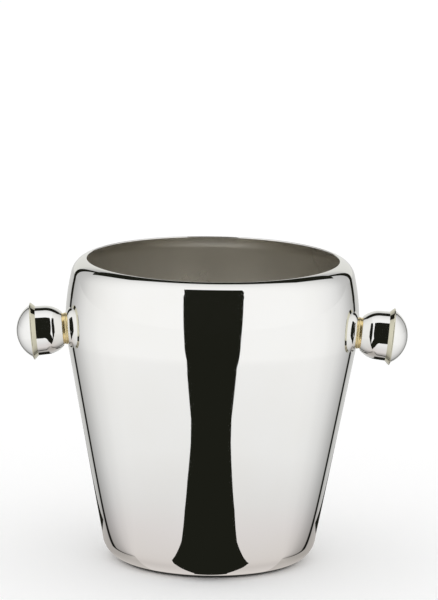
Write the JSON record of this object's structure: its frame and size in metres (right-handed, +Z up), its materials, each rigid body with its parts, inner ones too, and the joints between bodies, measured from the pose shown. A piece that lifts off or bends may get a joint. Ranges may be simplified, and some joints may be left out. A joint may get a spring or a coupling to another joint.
{
  "type": "champagne bucket",
  "caption": "Round polished silver bucket for ice and a bottle, with tapered wall, turned-in shoulder and a knob handle on each side.",
  "frame": {"origin": "middle of the base, on the plane the bucket stands on", "axes": "+Z up along the bucket's axis of revolution, +X out through the right-hand knob handle, -Y the front"},
  "size_m": [0.24, 0.18, 0.187],
  "materials": {
    "polished_silver": "mirror polished silver plate",
    "gilt": "polished gilt",
    "brass": "turned brass",
    "stainless": "bright turned stainless steel",
    "seal_rubber": "moulded nitrile rubber"
  },
  "bodies": {
    "root": {"bucket_body": "polished_silver", "left_dome_cap": "polished_silver", "left_cap_stud": "brass", "left_knob_ring": "polished_silver", "left_knob_barrel": "polished_silver", "left_core_bush": "brass", "left_neck_collar": "gilt", "left_wall_seal": "seal_rubber", "left_saddle_washer": "stainless", "left_spring_washer": "stainless", "left_handle_screw": "stainless", "right_dome_cap": "polished_silver", "right_cap_stud": "brass", "right_knob_ring": "polished_silver", "right_knob_barrel": "polished_silver", "right_core_bush": "brass", "right_neck_collar": "gilt", "right_wall_seal": "seal_rubber", "right_saddle_washer": "stainless", "right_spring_washer": "stainless", "right_handle_screw": "stainless"}
  },
  "joints": []
}
